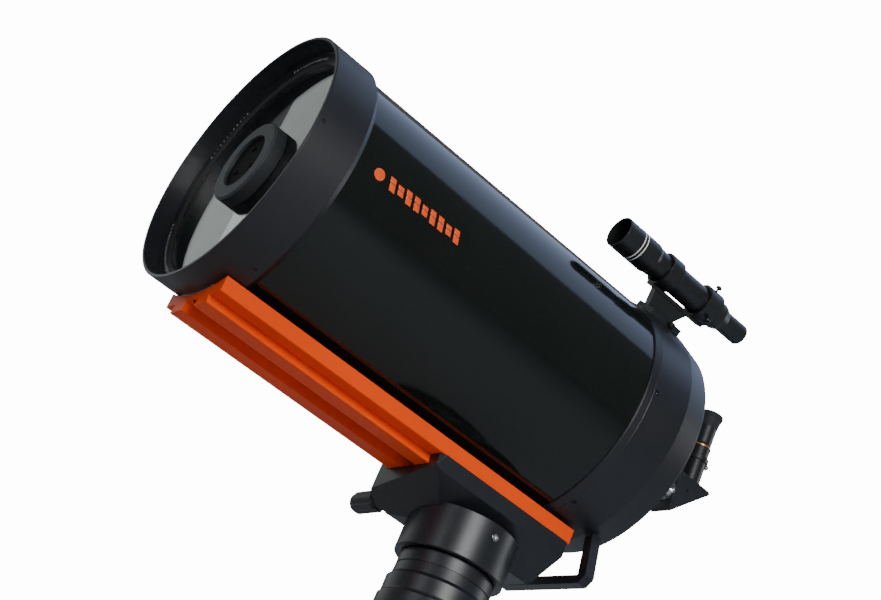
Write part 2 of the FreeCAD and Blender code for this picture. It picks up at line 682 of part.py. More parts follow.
def saddle_facets(shape, top, low):
    """The leaning faces that the saddle and its jaw share."""
    length = saddle_half_length
    width = saddle_half_width
    shape = beyond_plane(shape, Vector(width, 0, top), Vector(0.95, 0, -0.31))
    shape = beyond_plane(shape, Vector(width - 10, 0, top - 24), Vector(0.63, 0, -0.78))
    shape = beyond_plane(shape, Vector(-width, -length, top - 48), Vector(0.18, -0.42, -0.89))
    shape = beyond_plane(shape, Vector(-width, 0, low + 7), Vector(-1, 0, -1).normalize())
    for side, end in ((-1, -1), (-1, 1), (1, -1), (1, 1)):
        shape = beyond_plane(shape, Vector(side * width, end * (length - 7), top),
                             Vector(side, end, 0).normalize())
        shape = beyond_plane(shape, Vector(0, end * length, low + 5), Vector(0, end, -1).normalize())
    return shape


def saddle():
    top = axis_height - plate_bottom - slide_gap
    low = top - saddle_depth
    length = saddle_half_length
    width = saddle_half_width
    body = saddle_facets(block((-width, width), (-length, length), (low, top)), top, low)
    body = cut(body, rod(0, collar_top, collar_radius, Vector(0, 0, 0), up))

    # Channel for the bar's foot: a fixed undercut side at +X and a pocket for the jaw at -X.
    channel_floor = top + slide_gap - foot_depth - 1.0
    root = foot_root_half + slide_gap
    foot = foot_half + slide_gap
    jaw_gap = 0.2
    outer = width + 1
    channel = prism([Vector(-foot - jaw_gap, -length - 1, channel_floor),
                     Vector(foot + 0.4, -length - 1, channel_floor),
                     Vector(root, -length - 1, top + 0.5), Vector(-foot - jaw_gap, -length - 1, top + 0.5)],
                    Vector(0, 2 * length + 2, 0))
    pocket_floor = top - jaw_depth
    lug_back = jaw_front + jaw_lug_length
    pocket = block((-outer, -foot - jaw_gap), (jaw_front - jaw_gap, jaw_back + jaw_gap),
                   (pocket_floor, top + 1))
    lug_pocket = block((-outer, -foot - jaw_gap), (jaw_front - jaw_gap, lug_back + jaw_gap), (low - 1, top + 1))
    screw_base = Vector(0, clamp_screw_y, top - clamp_screw_drop)
    outwards = right * -1
    screw_hole = rod(clamp_screw_tip - 3, width + 2, clamp_screw_radius + running_gap, screw_base, outwards)
    save("saddle_body", cut(body, channel, pocket, lug_pocket, screw_hole))

    grip = prism([Vector(-width, jaw_front, pocket_floor + jaw_gap),
                  Vector(-foot - 0.4, jaw_front, pocket_floor + jaw_gap),
                  Vector(-foot - 0.4, jaw_front, channel_floor + 1.0),
                  Vector(-foot - jaw_gap, jaw_front, channel_floor + 1.0),
                  Vector(-root - jaw_gap, jaw_front, top - 0.1), Vector(-width, jaw_front, top - 0.1)],
                 Vector(0, jaw_back - jaw_front, 0))
    lug = block((-width, -foot - 0.4), (jaw_front, lug_back), (low, pocket_floor + 1))
    jaw = saddle_facets(fuse(grip, lug), top, low)
    save("saddle_jaw", cut(jaw, screw_hole))

    washer_end = width + 5
    screw = fuse(rod(clamp_screw_tip, washer_end + 50, clamp_screw_radius, screw_base, outwards),
                 ring(width + 0.1, washer_end, 11, clamp_screw_radius, screw_base, outwards))
    save("clamp_screw", screw)
    knob_base = screw_base + outwards * washer_end
    long = clamp_knob_length
    wide = clamp_knob_radius
    knob = turned([(50, 0), (50, clamp_screw_radius), (0, clamp_screw_radius), (0, wide - 5), (7, wide - 5),
                   (13, wide),
                   (long - 8, wide), (long - 3, wide - 2.5), (long, wide - 7), (long, 0)], knob_base, outwards)
    flute = rod(10, long + 1, 6.0, knob_base + up * (wide + 3.6), outwards)
    save("clamp_knob", cut(knob, *around(flute, evenly(6), knob_base, outwards)))


def mount_head():
    ground = Vector(0, 0, 0)
    spigot = collar_bottom + 26
    socket = 62.0
    collar = turned([(collar_bottom, socket), (collar_bottom, collar_radius - 1.5),
                     (collar_bottom + 1.5, collar_radius),
                     (collar_top, collar_radius), (collar_top, dec_shaft_radius),
                     (spigot + 4, dec_shaft_radius),
                     (spigot + 4, socket)], ground, up)
    screw_height = axis_height - 281.0
    pocket = rod(collar_radius - 4, collar_radius + 2, 6.0, Vector(0, 0, screw_height), right)
    thread = rod(collar_radius - 16, collar_radius, 3.0, Vector(0, 0, screw_height), right)
    shaft_foot = flange_thickness + 4
    shaft = rod(shaft_foot, collar_top, dec_shaft_radius, ground, up)
    save("declination_collar", cut(fuse(collar, shaft), pocket, thread))
    chrome = cap_screw(Vector(collar_radius - 4, 0, screw_height), right, 5.4, 4.6, 2.95, 11.0)
    save("collar_clamp_screw", chrome)

    bearing = dec_shaft_radius + 17
    neck = housing_neck
    wide = housing_radius
    top = collar_bottom - 1.2
    groove = 1.2
    housing = turned([(flange_thickness, bearing + 8), (flange_thickness, wide + 2),
                      (flange_thickness + 14, wide + 2),
                      (flange_thickness + 14, wide - groove), (flange_thickness + 17, wide - groove),
                      (flange_thickness + 17, wide), (top - 71, wide), (top - 68, wide - 2.5),
                      (top - 65, wide - 3.2),
                      (top - 42, neck + 6), (top - 36, neck + 1), (top - 22, neck), (top - 22, neck - groove),
                      (top - 19.5, neck - groove), (top - 19.5, neck), (top, neck), (top, socket - 0.6),
                      (spigot, socket - 0.6), (spigot, bearing), (spigot - 18, bearing),
                      (spigot - 18, bearing - 6),
                      (flange_thickness + 24, bearing - 6), (flange_thickness + 24, bearing),
                      (flange_thickness + 6, bearing), (flange_thickness + 6, bearing + 8)], ground, up)
    save("declination_housing", housing)
    low_seat = flange_thickness + 24
    inner = dec_shaft_radius + running_gap
    save("declination_bearings", ring(low_seat - 15, low_seat, bearing, inner, ground, up),
         ring(spigot - 18, spigot - 3, bearing, inner, ground, up))

    flange = ring(0, flange_thickness, flange_radius, dec_shaft_radius + 5, ground, up)
    step = ring(flange_thickness, flange_thickness + 6, bearing + 8, dec_shaft_radius + 5, ground, up)
    bolt_holes = around(rod(-1, flange_thickness + 1, flange_bolt_radius, Vector(flange_bolt_circle, 0, 0), up),
                        evenly(flange_bolts), ground, up)
    save("base_flange", cut(fuse(flange, step), *bolt_holes))


seat_station, front_screws = front_end()
secondary_group(seat_station)
port_end = rear_end(front_screws)
eye_end(port_end)
finder_group()
dovetail()
handle()
saddle()
mount_head()
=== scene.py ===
import bpy
import bmesh
import json
import math
from mathutils import Matrix, Vector


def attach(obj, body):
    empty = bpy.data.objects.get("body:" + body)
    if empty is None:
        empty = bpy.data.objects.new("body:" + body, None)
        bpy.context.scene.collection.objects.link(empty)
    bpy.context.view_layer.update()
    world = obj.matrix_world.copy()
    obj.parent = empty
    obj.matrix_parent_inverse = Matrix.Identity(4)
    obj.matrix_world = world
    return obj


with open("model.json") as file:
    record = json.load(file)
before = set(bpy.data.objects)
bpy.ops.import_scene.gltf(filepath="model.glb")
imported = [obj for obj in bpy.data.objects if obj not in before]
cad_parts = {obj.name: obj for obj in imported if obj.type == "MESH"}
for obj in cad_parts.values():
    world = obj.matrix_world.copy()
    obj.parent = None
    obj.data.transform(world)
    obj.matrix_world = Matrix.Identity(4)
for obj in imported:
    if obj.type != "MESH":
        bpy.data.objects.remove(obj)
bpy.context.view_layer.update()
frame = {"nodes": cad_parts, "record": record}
print("stage: frame loaded,", len(frame["nodes"]), "nodes")

opticalHeight = 0.470
decStation = 0.584
tubeRadius = 0.19785


def alongTube(station):
    return station - decStation


# ---- shared material parts, each a node group used by several finishes ----
def newGroup(name, inputs, outputs):
    group = bpy.data.node_groups.new(name, "ShaderNodeTree")
    for label, kind, value in inputs:
        socket = group.interface.new_socket(name=label, in_out="INPUT", socket_type=kind)
        if value is not None:
            socket.default_value = value
    for label, kind in outputs:
        group.interface.new_socket(name=label, in_out="OUTPUT", socket_type=kind)
    start = group.nodes.new("NodeGroupInput")
    end = group.nodes.new("NodeGroupOutput")
    return group, start, end


def mathNode(tree, operation, first=None, second=None, clamp=False):
    node = tree.nodes.new("ShaderNodeMath")
    node.operation = operation
    node.use_clamp = clamp
    for index, value in enumerate((first, second)):
        if isinstance(value, (int, float)):
            node.inputs[index].default_value = value
        elif value is not None:
            tree.links.new(value, node.inputs[index])
    return node.outputs[0]


def buildGrain():
    # fine grain: an uneven roughness value, a height for the bump and a slow tone change
    group, start, end = newGroup(
        "fineGrain",
        [("Scale", "NodeSocketFloat", 900.0), ("Low", "NodeSocketFloat", 0.3), ("High", "NodeSocketFloat", 0.45),
         ("Stretch", "NodeSocketVector", (1.0, 1.0, 1.0))],
        [("Roughness", "NodeSocketFloat"), ("Height", "NodeSocketFloat"), ("Tone", "NodeSocketFloat")])
    coords = group.nodes.new("ShaderNodeTexCoord")
    stretch = group.nodes.new("ShaderNodeVectorMath")
    stretch.operation = "MULTIPLY"
    group.links.new(coords.outputs["Object"], stretch.inputs[0])
    group.links.new(start.outputs["Stretch"], stretch.inputs[1])
    fine = group.nodes.new("ShaderNodeTexNoise")
    fine.inputs["Detail"].default_value = 3.0
    group.links.new(stretch.outputs[0], fine.inputs["Vector"])
    group.links.new(start.outputs["Scale"], fine.inputs["Scale"])
    slow = group.nodes.new("ShaderNodeTexNoise")
    slow.inputs["Scale"].default_value = 9.0
    slow.inputs["Detail"].default_value = 4.0
    group.links.new(coords.outputs["Object"], slow.inputs["Vector"])
    both = mathNode(group, "ADD", mathNode(group, "MULTIPLY", fine.outputs[0], 0.6),
                    mathNode(group, "MULTIPLY", slow.outputs[0], 0.4))
    spread = group.nodes.new("ShaderNodeMapRange")
    spread.inputs["From Min"].default_value = 0.35
    spread.inputs["From Max"].default_value = 0.65
    group.links.new(both, spread.inputs["Value"])
    group.links.new(start.outputs["Low"], spread.inputs["To Min"])
    group.links.new(start.outputs["High"], spread.inputs["To Max"])
    group.links.new(spread.outputs[0], end.inputs["Roughness"])
    group.links.new(fine.outputs[0], end.inputs["Height"])
    group.links.new(slow.outputs[0], end.inputs["Tone"])
    return group


def buildEdgeWear():
    # mask that is strongest on outside edges, broken up by noise, and a normal that softens those edges
    group, start, end = newGroup(
        "edgeWear",
        [("Radius", "NodeSocketFloat", 0.001), ("Amount", "NodeSocketFloat", 0.3), ("Break Up", "NodeSocketFloat", 160.0)],
        [("Mask", "NodeSocketFloat"), ("Normal", "NodeSocketVector")])
    soft = group.nodes.new("ShaderNodeBevel")
    soft.samples = 4
    group.links.new(start.outputs["Radius"], soft.inputs["Radius"])
    shape = group.nodes.new("ShaderNodeNewGeometry")
    facing = group.nodes.new("ShaderNodeVectorMath")
    facing.operation = "DOT_PRODUCT"
    group.links.new(soft.outputs[0], facing.inputs[0])
    group.links.new(shape.outputs["Normal"], facing.inputs[1])
    edge = mathNode(group, "SUBTRACT", 1.0, facing.outputs["Value"], clamp=True)
    coords = group.nodes.new("ShaderNodeTexCoord")
    noise = group.nodes.new("ShaderNodeTexNoise")
    noise.inputs["Detail"].default_value = 5.0
    group.links.new(coords.outputs["Object"], noise.inputs["Vector"])
    group.links.new(start.outputs["Break Up"], noise.inputs["Scale"])
    patches = group.nodes.new("ShaderNodeMapRange")
    patches.inputs["From Min"].default_value = 0.48
    patches.inputs["From Max"].default_value = 0.66
    group.links.new(noise.outputs[0], patches.inputs["Value"])
    strong = mathNode(group, "MULTIPLY", edge, 9.0, clamp=True)
    worn = mathNode(group, "MULTIPLY", strong, patches.outputs[0])
    group.links.new(mathNode(group, "MULTIPLY", worn, start.outputs["Amount"], clamp=True), end.inputs["Mask"])
    group.links.new(soft.outputs[0], end.inputs["Normal"])
    return group


def buildDust():
    # mask of fine dust that lies on faces that look up
    group, start, end = newGroup(
        "settledDust",
        [("Amount", "NodeSocketFloat", 0.1), ("Scale", "NodeSocketFloat", 420.0)],
        [("Mask", "NodeSocketFloat")])
    shape = group.nodes.new("ShaderNodeNewGeometry")
    split = group.nodes.new("ShaderNodeSeparateXYZ")
    group.links.new(shape.outputs["Normal"], split.inputs[0])
    upward = mathNode(group, "MAXIMUM", split.outputs["Z"], 0.0)
    coords = group.nodes.new("ShaderNodeTexCoord")
    noise = group.nodes.new("ShaderNodeTexNoise")
    noise.inputs["Detail"].default_value = 6.0
    group.links.new(coords.outputs["Object"], noise.inputs["Vector"])
    group.links.new(start.outputs["Scale"], noise.inputs["Scale"])
    specks = group.nodes.new("ShaderNodeMapRange")
    specks.inputs["From Min"].default_value = 0.5
    specks.inputs["From Max"].default_value = 0.75
    group.links.new(noise.outputs[0], specks.inputs["Value"])
    lying = mathNode(group, "MULTIPLY", mathNode(group, "MULTIPLY", upward, upward), specks.outputs[0])
    group.links.new(mathNode(group, "MULTIPLY", lying, start.outputs["Amount"], clamp=True), end.inputs["Mask"])
    return group


fineGrain = buildGrain()
edgeWear = buildEdgeWear()
settledDust = buildDust()

toneSpread = (0.82, 1.2)
dustColor = (0.32, 0.31, 0.29)
dustRoughness = 1.5

# one look per finish: colours, roughness range, grain size and depth, wear and dust
finishes = {
    "tube_gloss_black": {"color": (0.0055, 0.0075, 0.0065), "worn": (0.02, 0.02, 0.02), "low": 0.07, "high": 0.13,
                         "grain": 260.0, "bump": 0.00003, "wear": 0.0, "dust": 0.02, "specular": 0.42},
    "cell_satin_black": {"color": (0.0085, 0.0095, 0.0125), "worn": (0.05, 0.05, 0.052), "low": 0.34, "high": 0.46,
                         "grain": 1500.0, "bump": 0.00006, "wear": 0.25, "dust": 0.04, "specular": 0.5},
    "black_anodised": {"color": (0.009, 0.0105, 0.011), "worn": (0.12, 0.12, 0.12), "low": 0.3, "high": 0.42,
                       "grain": 1100.0, "bump": 0.00003, "wear": 0.2, "dust": 0.03, "specular": 0.5},
    "grey_ring": {"color": (0.03, 0.034, 0.038), "worn": (0.09, 0.09, 0.09), "low": 0.5, "high": 0.62,
                  "grain": 1300.0, "bump": 0.00005, "wear": 0.15, "dust": 0.03},
    "orange_anodised": {"color": (0.95, 0.07, 0.0), "worn": (0.75, 0.42, 0.25), "low": 0.34, "high": 0.46,
                        "grain": 700.0, "stretch": (1.0, 0.02, 1.0), "bump": 0.00004, "wear": 0.25,
                        "specular": 0.12},
    "bare_aluminium": {"color": (0.62, 0.63, 0.65), "worn": (0.8, 0.8, 0.8), "low": 0.22, "high": 0.36,
                       "grain": 900.0, "bump": 0.00003, "wear": 0.3, "metallic": 1.0},
    "black_steel": {"color": (0.02, 0.02, 0.022), "worn": (0.3, 0.29, 0.28), "low": 0.28, "high": 0.4,
                    "grain": 1600.0, "bump": 0.00002, "wear": 0.5, "metallic": 0.6},
    "chrome": {"color": (0.82, 0.83, 0.85), "worn": (0.7, 0.7, 0.7), "low": 0.05, "high": 0.14,
               "grain": 1200.0, "bump": 0.00001, "wear": 0.1, "metallic": 1.0},
    "brass": {"color": (0.7, 0.48, 0.18), "worn": (0.85, 0.7, 0.4), "low": 0.2, "high": 0.34,
              "grain": 1200.0, "bump": 0.00002, "wear": 0.3, "metallic": 1.0},
    "black_rubber": {"color": (0.012, 0.012, 0.0125), "worn": (0.05, 0.05, 0.05), "low": 0.62, "high": 0.78,
                     "grain": 1800.0, "bump": 0.00008, "wear": 0.2, "dust": 0.06},
    "cork": {"color": (0.3, 0.17, 0.08), "worn": (0.4, 0.26, 0.14), "low": 0.75, "high": 0.9,
             "grain": 1200.0, "bump": 0.0002, "wear": 0.2},
    "mount_satin_black": {"color": (0.009, 0.0105, 0.014), "worn": (0.07, 0.07, 0.075), "low": 0.3, "high": 0.42,
                          "grain": 1400.0, "bump": 0.00008, "wear": 0.3, "dust": 0.04},
    "knob_plastic": {"color": (0.016, 0.0165, 0.018), "worn": (0.06, 0.06, 0.06), "low": 0.4, "high": 0.52,
                     "grain": 1500.0, "bump": 0.00006, "wear": 0.2},
    "lacquered_body": {"color": (0.011, 0.0125, 0.016), "worn": (0.08, 0.08, 0.085), "low": 0.26, "high": 0.38,
                       "grain": 1300.0, "bump": 0.00006, "wear": 0.3},
}


def makePaint(name, look):
    # one solid finish: tone change, grain, worn edges and dust, all read from Object coordinates
    material = bpy.data.materials.new(name)
    material.use_nodes = True
    tree = material.node_tree
    shader = tree.nodes["Principled BSDF"]
    grain = tree.nodes.new("ShaderNodeGroup")
    grain.node_tree = fineGrain
    grain.inputs["Scale"].default_value = look["grain"]
    grain.inputs["Low"].default_value = look["low"]
    grain.inputs["High"].default_value = look["high"]
    grain.inputs["Stretch"].default_value = look.get("stretch", (1.0, 1.0, 1.0))
    wear = tree.nodes.new("ShaderNodeGroup")
    wear.node_tree = edgeWear
    wear.inputs["Radius"].default_value = look.get("edge", 0.0008)
    wear.inputs["Amount"].default_value = look["wear"]
    dust = tree.nodes.new("ShaderNodeGroup")
    dust.node_tree = settledDust
    dust.inputs["Amount"].default_value = look.get("dust", 0.0)
    color = look["color"]
    tone = tree.nodes.new("ShaderNodeMix")
    tone.data_type = "RGBA"
    tone.inputs[6].default_value = (*[c * toneSpread[0] for c in color], 1)
    tone.inputs[7].default_value = (*[min(1.0, c * toneSpread[1]) for c in color], 1)
    tree.links.new(grain.outputs["Tone"], tone.inputs[0])
    wornMix = tree.nodes.new("ShaderNodeMix")
    wornMix.data_type = "RGBA"
    wornMix.inputs[7].default_value = (*look["worn"], 1)
    tree.links.new(wear.outputs["Mask"], wornMix.inputs[0])
    tree.links.new(tone.outputs[2], wornMix.inputs[6])
    dustMix = tree.nodes.new("ShaderNodeMix")
    dustMix.data_type = "RGBA"
    dustMix.inputs[7].default_value = (*dustColor, 1)
    tree.links.new(dust.outputs["Mask"], dustMix.inputs[0])
    tree.links.new(wornMix.outputs[2], dustMix.inputs[6])
    tree.links.new(dustMix.outputs[2], shader.inputs["Base Color"])
    dusty = mathNode(tree, "MULTIPLY", dust.outputs["Mask"], dustRoughness)
    rough = mathNode(tree, "ADD", grain.outputs["Roughness"], dusty, clamp=True)
    tree.links.new(rough, shader.inputs["Roughness"])
    bump = tree.nodes.new("ShaderNodeBump")
    bump.inputs["Strength"].default_value = 0.6
    bump.inputs["Distance"].default_value = look["bump"]
    tree.links.new(grain.outputs["Height"], bump.inputs["Height"])
    tree.links.new(wear.outputs["Normal"], bump.inputs["Normal"])
    tree.links.new(bump.outputs[0], shader.inputs["Normal"])
    shader.inputs["Metallic"].default_value = look.get("metallic", 0.0)
    shader.inputs["Specular IOR Level"].default_value = look.get("specular", 0.5)
    return material


def makeGlass(name, color, rough, tint):
    # clear optical glass, with faint cleaning marks in its roughness
    material = bpy.data.materials.new(name)
    material.use_nodes = True
    tree = material.node_tree
    shader = tree.nodes["Principled BSDF"]
    grain = tree.nodes.new("ShaderNodeGroup")
    grain.node_tree = fineGrain
    grain.inputs["Scale"].default_value = 60.0
    grain.inputs["Low"].default_value = rough
    grain.inputs["High"].default_value = rough + 0.01
    mix = tree.nodes.new("ShaderNodeMix")
    mix.data_type = "RGBA"
    mix.inputs[6].default_value = (*color, 1)
    mix.inputs[7].default_value = (*tint, 1)
    tree.links.new(grain.outputs["Tone"], mix.inputs[0])
    tree.links.new(mix.outputs[2], shader.inputs["Base Color"])
    tree.links.new(grain.outputs["Roughness"], shader.inputs["Roughness"])
    shader.inputs["Transmission Weight"].default_value = 1.0
    shader.inputs["IOR"].default_value = 1.5
    return material


def makeMirror(name, color):
    # aluminised glass: bright, with a faint uneven haze
    material = bpy.data.materials.new(name)
    material.use_nodes = True
    tree = material.node_tree
    shader = tree.nodes["Principled BSDF"]
    grain = tree.nodes.new("ShaderNodeGroup")
    grain.node_tree = fineGrain
    grain.inputs["Scale"].default_value = 40.0
    grain.inputs["Low"].default_value = 0.01
    grain.inputs["High"].default_value = 0.035
    mix = tree.nodes.new("ShaderNodeMix")
    mix.data_type = "RGBA"
    mix.inputs[6].default_value = (*color, 1)
    mix.inputs[7].default_value = (*[c * 0.95 for c in color], 1)
    tree.links.new(grain.outputs["Tone"], mix.inputs[0])
    tree.links.new(mix.outputs[2], shader.inputs["Base Color"])
    tree.links.new(grain.outputs["Roughness"], shader.inputs["Roughness"])
    shader.inputs["Metallic"].default_value = 1.0
    return material


finishes["mattBlackPaint"] = {"color": (0.004, 0.004, 0.0042), "worn": (0.01, 0.01, 0.01), "low": 0.75, "high": 0.9,
                              "grain": 900.0, "bump": 0.0001, "wear": 0.0, "specular": 0.2}
thinEdge = 0.00003
finishes["orangeMark"] = {"color": (0.95, 0.09, 0.002), "worn": (0.8, 0.3, 0.1), "low": 0.3, "high": 0.4,
                          "edge": thinEdge, "grain": 1200.0, "bump": 0.00001, "wear": 0.0}
finishes["whitePrint"] = {"color": (0.9, 0.92, 0.93), "worn": (0.6, 0.6, 0.6), "low": 0.45, "high": 0.55,
                          "edge": thinEdge, "grain": 1600.0, "bump": 0.00001, "wear": 0.0}
finishes["goldBand"] = {"color": (0.85, 0.42, 0.1), "worn": (0.9, 0.6, 0.3), "low": 0.22, "high": 0.32,
                        "edge": thinEdge, "grain": 1500.0, "bump": 0.00001, "wear": 0.1, "metallic": 0.8}
materials = {name: makePaint(name, look) for name, look in finishes.items()}
materials["corrector_glass"] = makeGlass("corrector_glass", (0.96, 0.98, 0.98), 0.0, (0.95, 0.98, 0.97))
materials["lens_glass"] = makeGlass("lens_glass", (0.8, 0.86, 0.95), 0.0, (0.74, 0.84, 0.95))
materials["mirror_glass"] = makeMirror("mirror_glass", (0.88, 0.89, 0.9))
for part in frame["record"]["subparts"]:
    node = frame["nodes"][part["node"]]
    node.data.materials.clear()
    node.data.materials.append(materials[part["material_slot"]])
# the middle of the secondary is dark, so its plate and screws are matt black
for name in ("secondary_cover_plate", "collimation_screw_1", "collimation_screw_2", "collimation_screw_3"):
    frame["nodes"][name].data.materials[0] = materials["mattBlackPaint"]


# ---- helpers for new pieces ----
weldDistance = 0.000002


def finishPiece(name, mesh, material, body, smooth=40.0):
    # weld, smooth and link one new piece, and let it ride its body
    bmesh.ops.remove_doubles(mesh, verts=mesh.verts, dist=weldDistance)
    bmesh.ops.recalc_face_normals(mesh, faces=mesh.faces)
    data = bpy.data.meshes.new(name)
    mesh.to_mesh(data)
    mesh.free()
    piece = bpy.data.objects.new(name, data)
    bpy.context.scene.collection.objects.link(piece)
    data.materials.append(material)
    for face in data.polygons:
        face.use_smooth = True
    data.set_sharp_from_angle(angle=math.radians(smooth))
    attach(piece, body)
    return piece


def spunRing(outline, steps=96):
    # closed ring turned about the optical axis from (station, radius) points
    mesh = bmesh.new()
    verts = [mesh.verts.new((0.0, alongTube(station), opticalHeight + radius)) for station, radius in outline]
    edges = [mesh.edges.new((verts[i], verts[(i + 1) % len(verts)])) for i in range(len(verts))]
    bmesh.ops.spin(mesh, geom=verts + edges, cent=(0, 0, opticalHeight), axis=(0, 1, 0), angle=math.tau,
                   steps=steps, use_merge=True)
    return mesh


def upright(mesh, verts, size, place, turnAbout=0.0):
    # scale a unit shape, turn it about the optical axis' direction and put it in place
    bmesh.ops.scale(mesh, vec=Vector(size), verts=verts)
    bmesh.ops.rotate(mesh, cent=(0, 0, 0), matrix=Matrix.Rotation(turnAbout, 3, "Y"), verts=verts)
    bmesh.ops.translate(mesh, vec=Vector(place), verts=verts)


# ---- thin matt black lining inside the tube ----
lining = {"start": 0.0505, "end": 0.689, "radius": 0.1957, "wall": 0.0004, "steps": 128}


def buildLining():
    outer = lining["radius"]
    inner = outer - lining["wall"]
    start, end = lining["start"], lining["end"]
    mesh = spunRing([(start, inner), (start, outer), (end, outer), (end, inner)], lining["steps"])
    finishPiece("tubeLining", mesh, materials["mattBlackPaint"], "telescope")


# ---- plain orange mark on the tube's side ----
tubeMark = {"discStation": 0.118, "discRadius": 0.0125, "firstBar": 0.142, "barPitch": 0.0150, "bars": 9,
            "barLength": 0.0098, "barHeight": 0.0195, "slant": 0.25, "middle": -0.001, "rise": 0.00025}


def bendOnTube(mesh, radius):
    # lay flat vertices (x = height round the tube, y = along it, z = rise) on the tube's side
    for vert in mesh.verts:
        angle = vert.co.x / radius
        reach = radius + vert.co.z
        vert.co = Vector((reach * math.cos(angle), vert.co.y, opticalHeight + reach * math.sin(angle)))


def buildTubeMark():
    mesh = bmesh.new()
    middle = tubeMark["middle"]
    rise = tubeMark["rise"]
    radius = tubeMark["discRadius"]
    outer = bmesh.ops.create_circle(mesh, cap_ends=True, segments=48, radius=radius)["verts"]
    bmesh.ops.translate(mesh, vec=(middle, alongTube(tubeMark["discStation"]), rise), verts=outer)
    inner = bmesh.ops.inset_individual(mesh, faces=mesh.faces[:], thickness=radius * 0.3)
    bmesh.ops.delete(mesh, geom=inner["faces"], context="FACES_ONLY")
    hub = bmesh.ops.create_circle(mesh, cap_ends=True, segments=40, radius=radius * 0.42)["verts"]
    bmesh.ops.translate(mesh, vec=(middle, alongTube(tubeMark["discStation"]), rise), verts=hub)
    for index in range(tubeMark["bars"]):
        station = alongTube(tubeMark["firstBar"] + index * tubeMark["barPitch"])
        tall = tubeMark["barHeight"] * (0.72 if index % 3 == 1 else 1.0)
        bar = bmesh.ops.create_grid(mesh, x_segments=8, y_segments=2, size=0.5)["verts"]
        bmesh.ops.scale(mesh, vec=(tall, tubeMark["barLength"], 1), verts=bar)
        for vert in bar:
            vert.co.y -= vert.co.x * tubeMark["slant"]
        bmesh.ops.translate(mesh, vec=(middle, station, rise), verts=bar)
    bendOnTube(mesh, tubeRadius)
    bmesh.ops.solidify(mesh, geom=mesh.faces[:], thickness=rise * 1.1)
    finishPiece("tubeMark", mesh, materials["orangeMark"], "telescope", 30)


# ---- white tick marks on the corrector's retaining ring ----
ringTicks = {"radius": 0.1895, "station": 0.0289, "height": 0.0044, "width": 0.0015, "depth": 0.0003,
             "groups": ((72, 100, 13), (133, 159, 12), (-162, -120, 19))}


def buildRingTicks():
    mesh = bmesh.new()
    for first, last, count in ringTicks["groups"]:
        for index in range(count):
            angle = math.radians(first + (last - first) * index / (count - 1))
            tick = bmesh.ops.create_cube(mesh, size=1.0)["verts"]
            tall = ringTicks["height"] * (0.6 if index % 4 in (1, 2) else 1.0)
            place = (ringTicks["radius"] * math.cos(angle), alongTube(ringTicks["station"]),
                     opticalHeight + ringTicks["radius"] * math.sin(angle))
            upright(mesh, tick, (tall, ringTicks["depth"], ringTicks["width"]), place, -angle)
    finishPiece("ringTicks", mesh, materials["whitePrint"], "telescope", 30)


# ---- printed rings on the finder and the band on the eyepiece ----
finderAxis = (0.134, 0.7020948)
finderBands = {"radius": 0.0263, "rise": 0.00022, "rings": ((0.5838, 0.5856), (0.5902, 0.5920))}
eyepieceBand = {"radius": 0.0183, "rise": 0.00035, "low": 0.1014, "high": 0.1036, "station": 0.956}


def buildFinderBands():
    mesh = bmesh.new()
    radius = finderBands["radius"]
    top = radius + finderBands["rise"]
    for low, high in finderBands["rings"]:
        corners = [(low, radius - 0.0002), (low, top), (high, top), (high, radius - 0.0002)]
        verts = [mesh.verts.new((finderAxis[0], alongTube(station), finderAxis[1] + reach))
                 for station, reach in corners]
        edges = [mesh.edges.new((verts[i], verts[(i + 1) % 4])) for i in range(4)]
        bmesh.ops.spin(mesh, geom=verts + edges, cent=(finderAxis[0], 0, finderAxis[1]), axis=(0, 1, 0),
                       angle=math.tau, steps=72, use_merge=True)
    finishPiece("finderBands", mesh, materials["whitePrint"], "finder_shield", 30)


def buildEyepieceBand():
    mesh = bmesh.new()
    radius = eyepieceBand["radius"]
    top = radius + eyepieceBand["rise"]
    behind = alongTube(eyepieceBand["station"])
    low, high = opticalHeight + eyepieceBand["low"], opticalHeight + eyepieceBand["high"]
    corners = [(radius - 0.0004, low), (top, low), (top, high), (radius - 0.0004, high)]
    verts = [mesh.verts.new((reach, behind, height)) for reach, height in corners]
    edges = [mesh.edges.new((verts[i], verts[(i + 1) % 4])) for i in range(4)]
    bmesh.ops.spin(mesh, geom=verts + edges, cent=(0, behind, 0), axis=(0, 0, 1), angle=math.tau,
                   steps=72, use_merge=True)
    corner = [edge for edge in mesh.edges if len(edge.link_faces) == 2 and edge.calc_face_angle(0) > 1.0]
    bmesh.ops.bevel(mesh, geom=corner, offset=0.00012, segments=2, profile=0.5, affect="EDGES", material=-1)
    finishPiece("eyepieceBand", mesh, materials["goldBand"], "eyepiece", 30)


# ---- small screw heads on the diagonal's side plates ----
plateScrews = {"radius": 0.0019, "height": 0.0008, "half": 0.022,
               "places": ((0.9235, 0.0300), (0.9770, 0.0295), (0.9235, -0.0225))}


